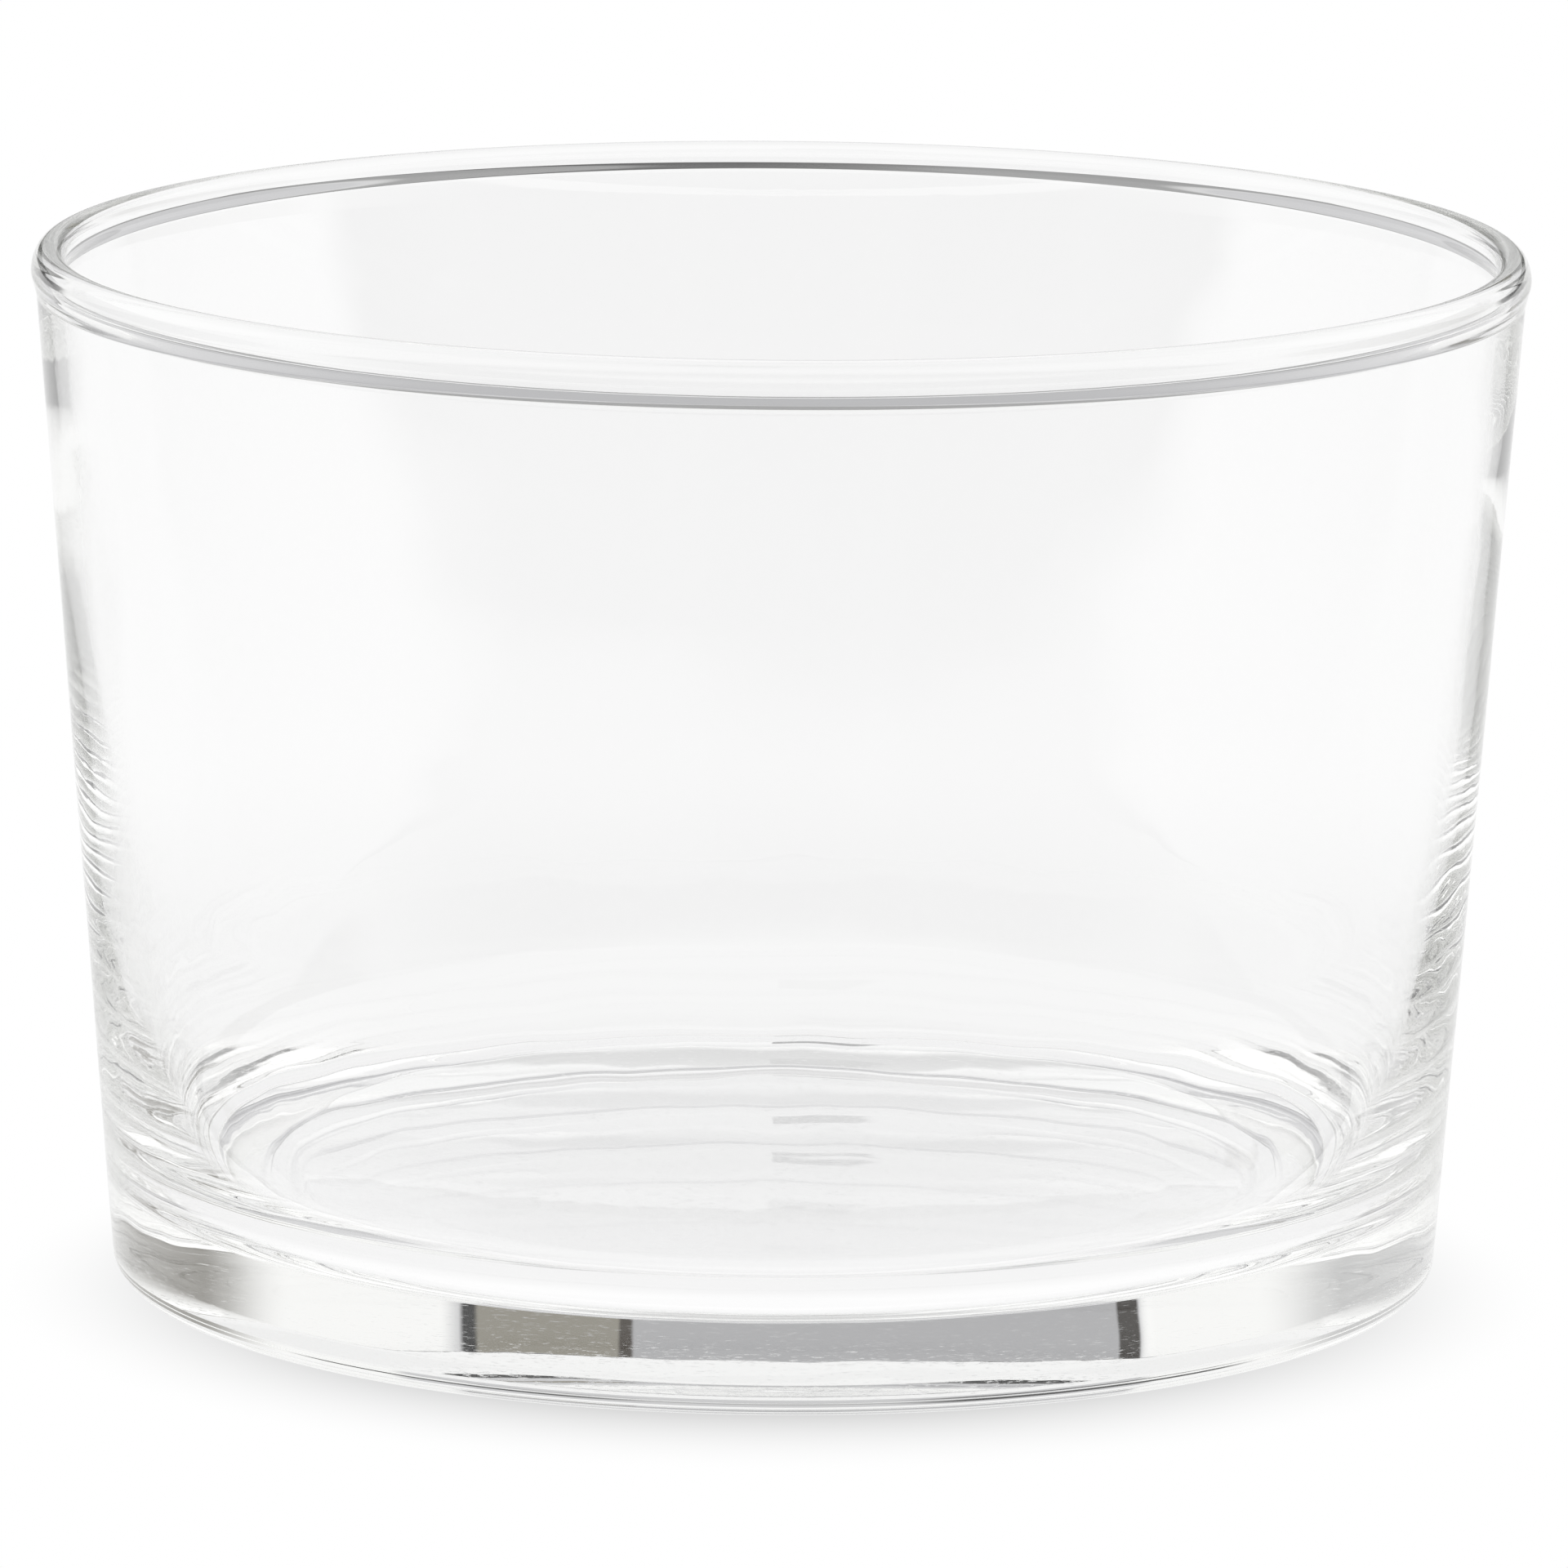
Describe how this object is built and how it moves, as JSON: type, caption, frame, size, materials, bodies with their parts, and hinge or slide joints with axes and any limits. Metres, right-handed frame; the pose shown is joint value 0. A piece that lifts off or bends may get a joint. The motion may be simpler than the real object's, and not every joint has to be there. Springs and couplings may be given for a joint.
{
  "type": "glass vase",
  "caption": "Low round vase of clear pressed glass: a straight wall that leans slightly outwards, a rounded rim bead and a thick base on a flat foot ring.",
  "frame": {"origin": "middle of the underside, on the surface that the foot ring stands on", "axes": "+Z along the axis of the vase and out of its mouth; the vase is round, so +X and +Y are any two square directions"},
  "size_m": [0.086, 0.086, 0.06],
  "materials": {
    "clear_glass": "clear, colourless, fire-polished"
  },
  "bodies": {
    "root": {"glass_vase": "clear_glass"}
  },
  "joints": []
}
